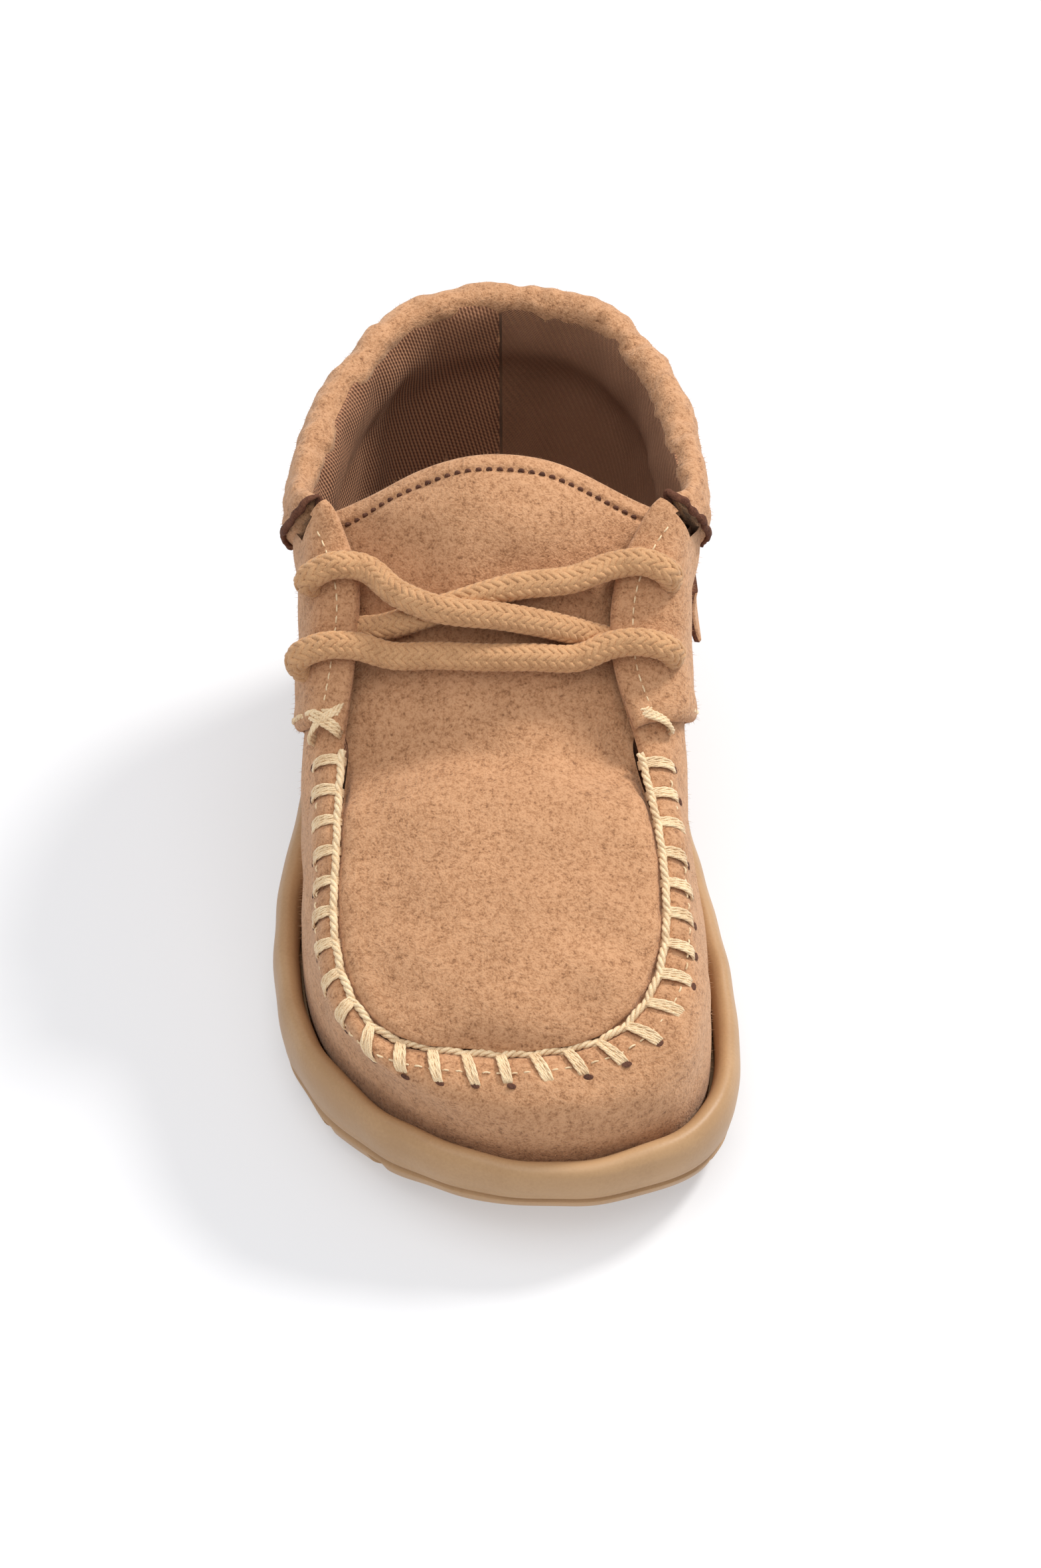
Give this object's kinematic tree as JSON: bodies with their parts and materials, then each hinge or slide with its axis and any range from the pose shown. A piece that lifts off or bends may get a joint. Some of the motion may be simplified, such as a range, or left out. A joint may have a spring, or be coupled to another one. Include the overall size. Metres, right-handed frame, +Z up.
{
  "type": "moccasin boot",
  "caption": "Small child's ankle moccasin boot in tan suede with a padded collar, hand-sewn apron, round lace and gum rubber cupsole.",
  "frame": {"origin": "on the floor, under the middle of the outsole's bounding box", "axes": "+Z up, +Y from toe to heel, +X towards the wearer's big toe side (the inner side of this right shoe)"},
  "size_m": [0.0668, 0.1341, 0.0707],
  "materials": {
    "suede": "matte",
    "gum_rubber": "satin",
    "lining": "matte",
    "braid": "matte"
  },
  "bodies": {
    "root": {"outsole": "gum_rubber", "insole": "lining", "upper": "suede", "quarter_left": "suede", "quarter_right": "suede", "apron_tongue": "suede", "collar": "suede", "lace": "braid", "side_tab": "suede"}
  },
  "joints": []
}
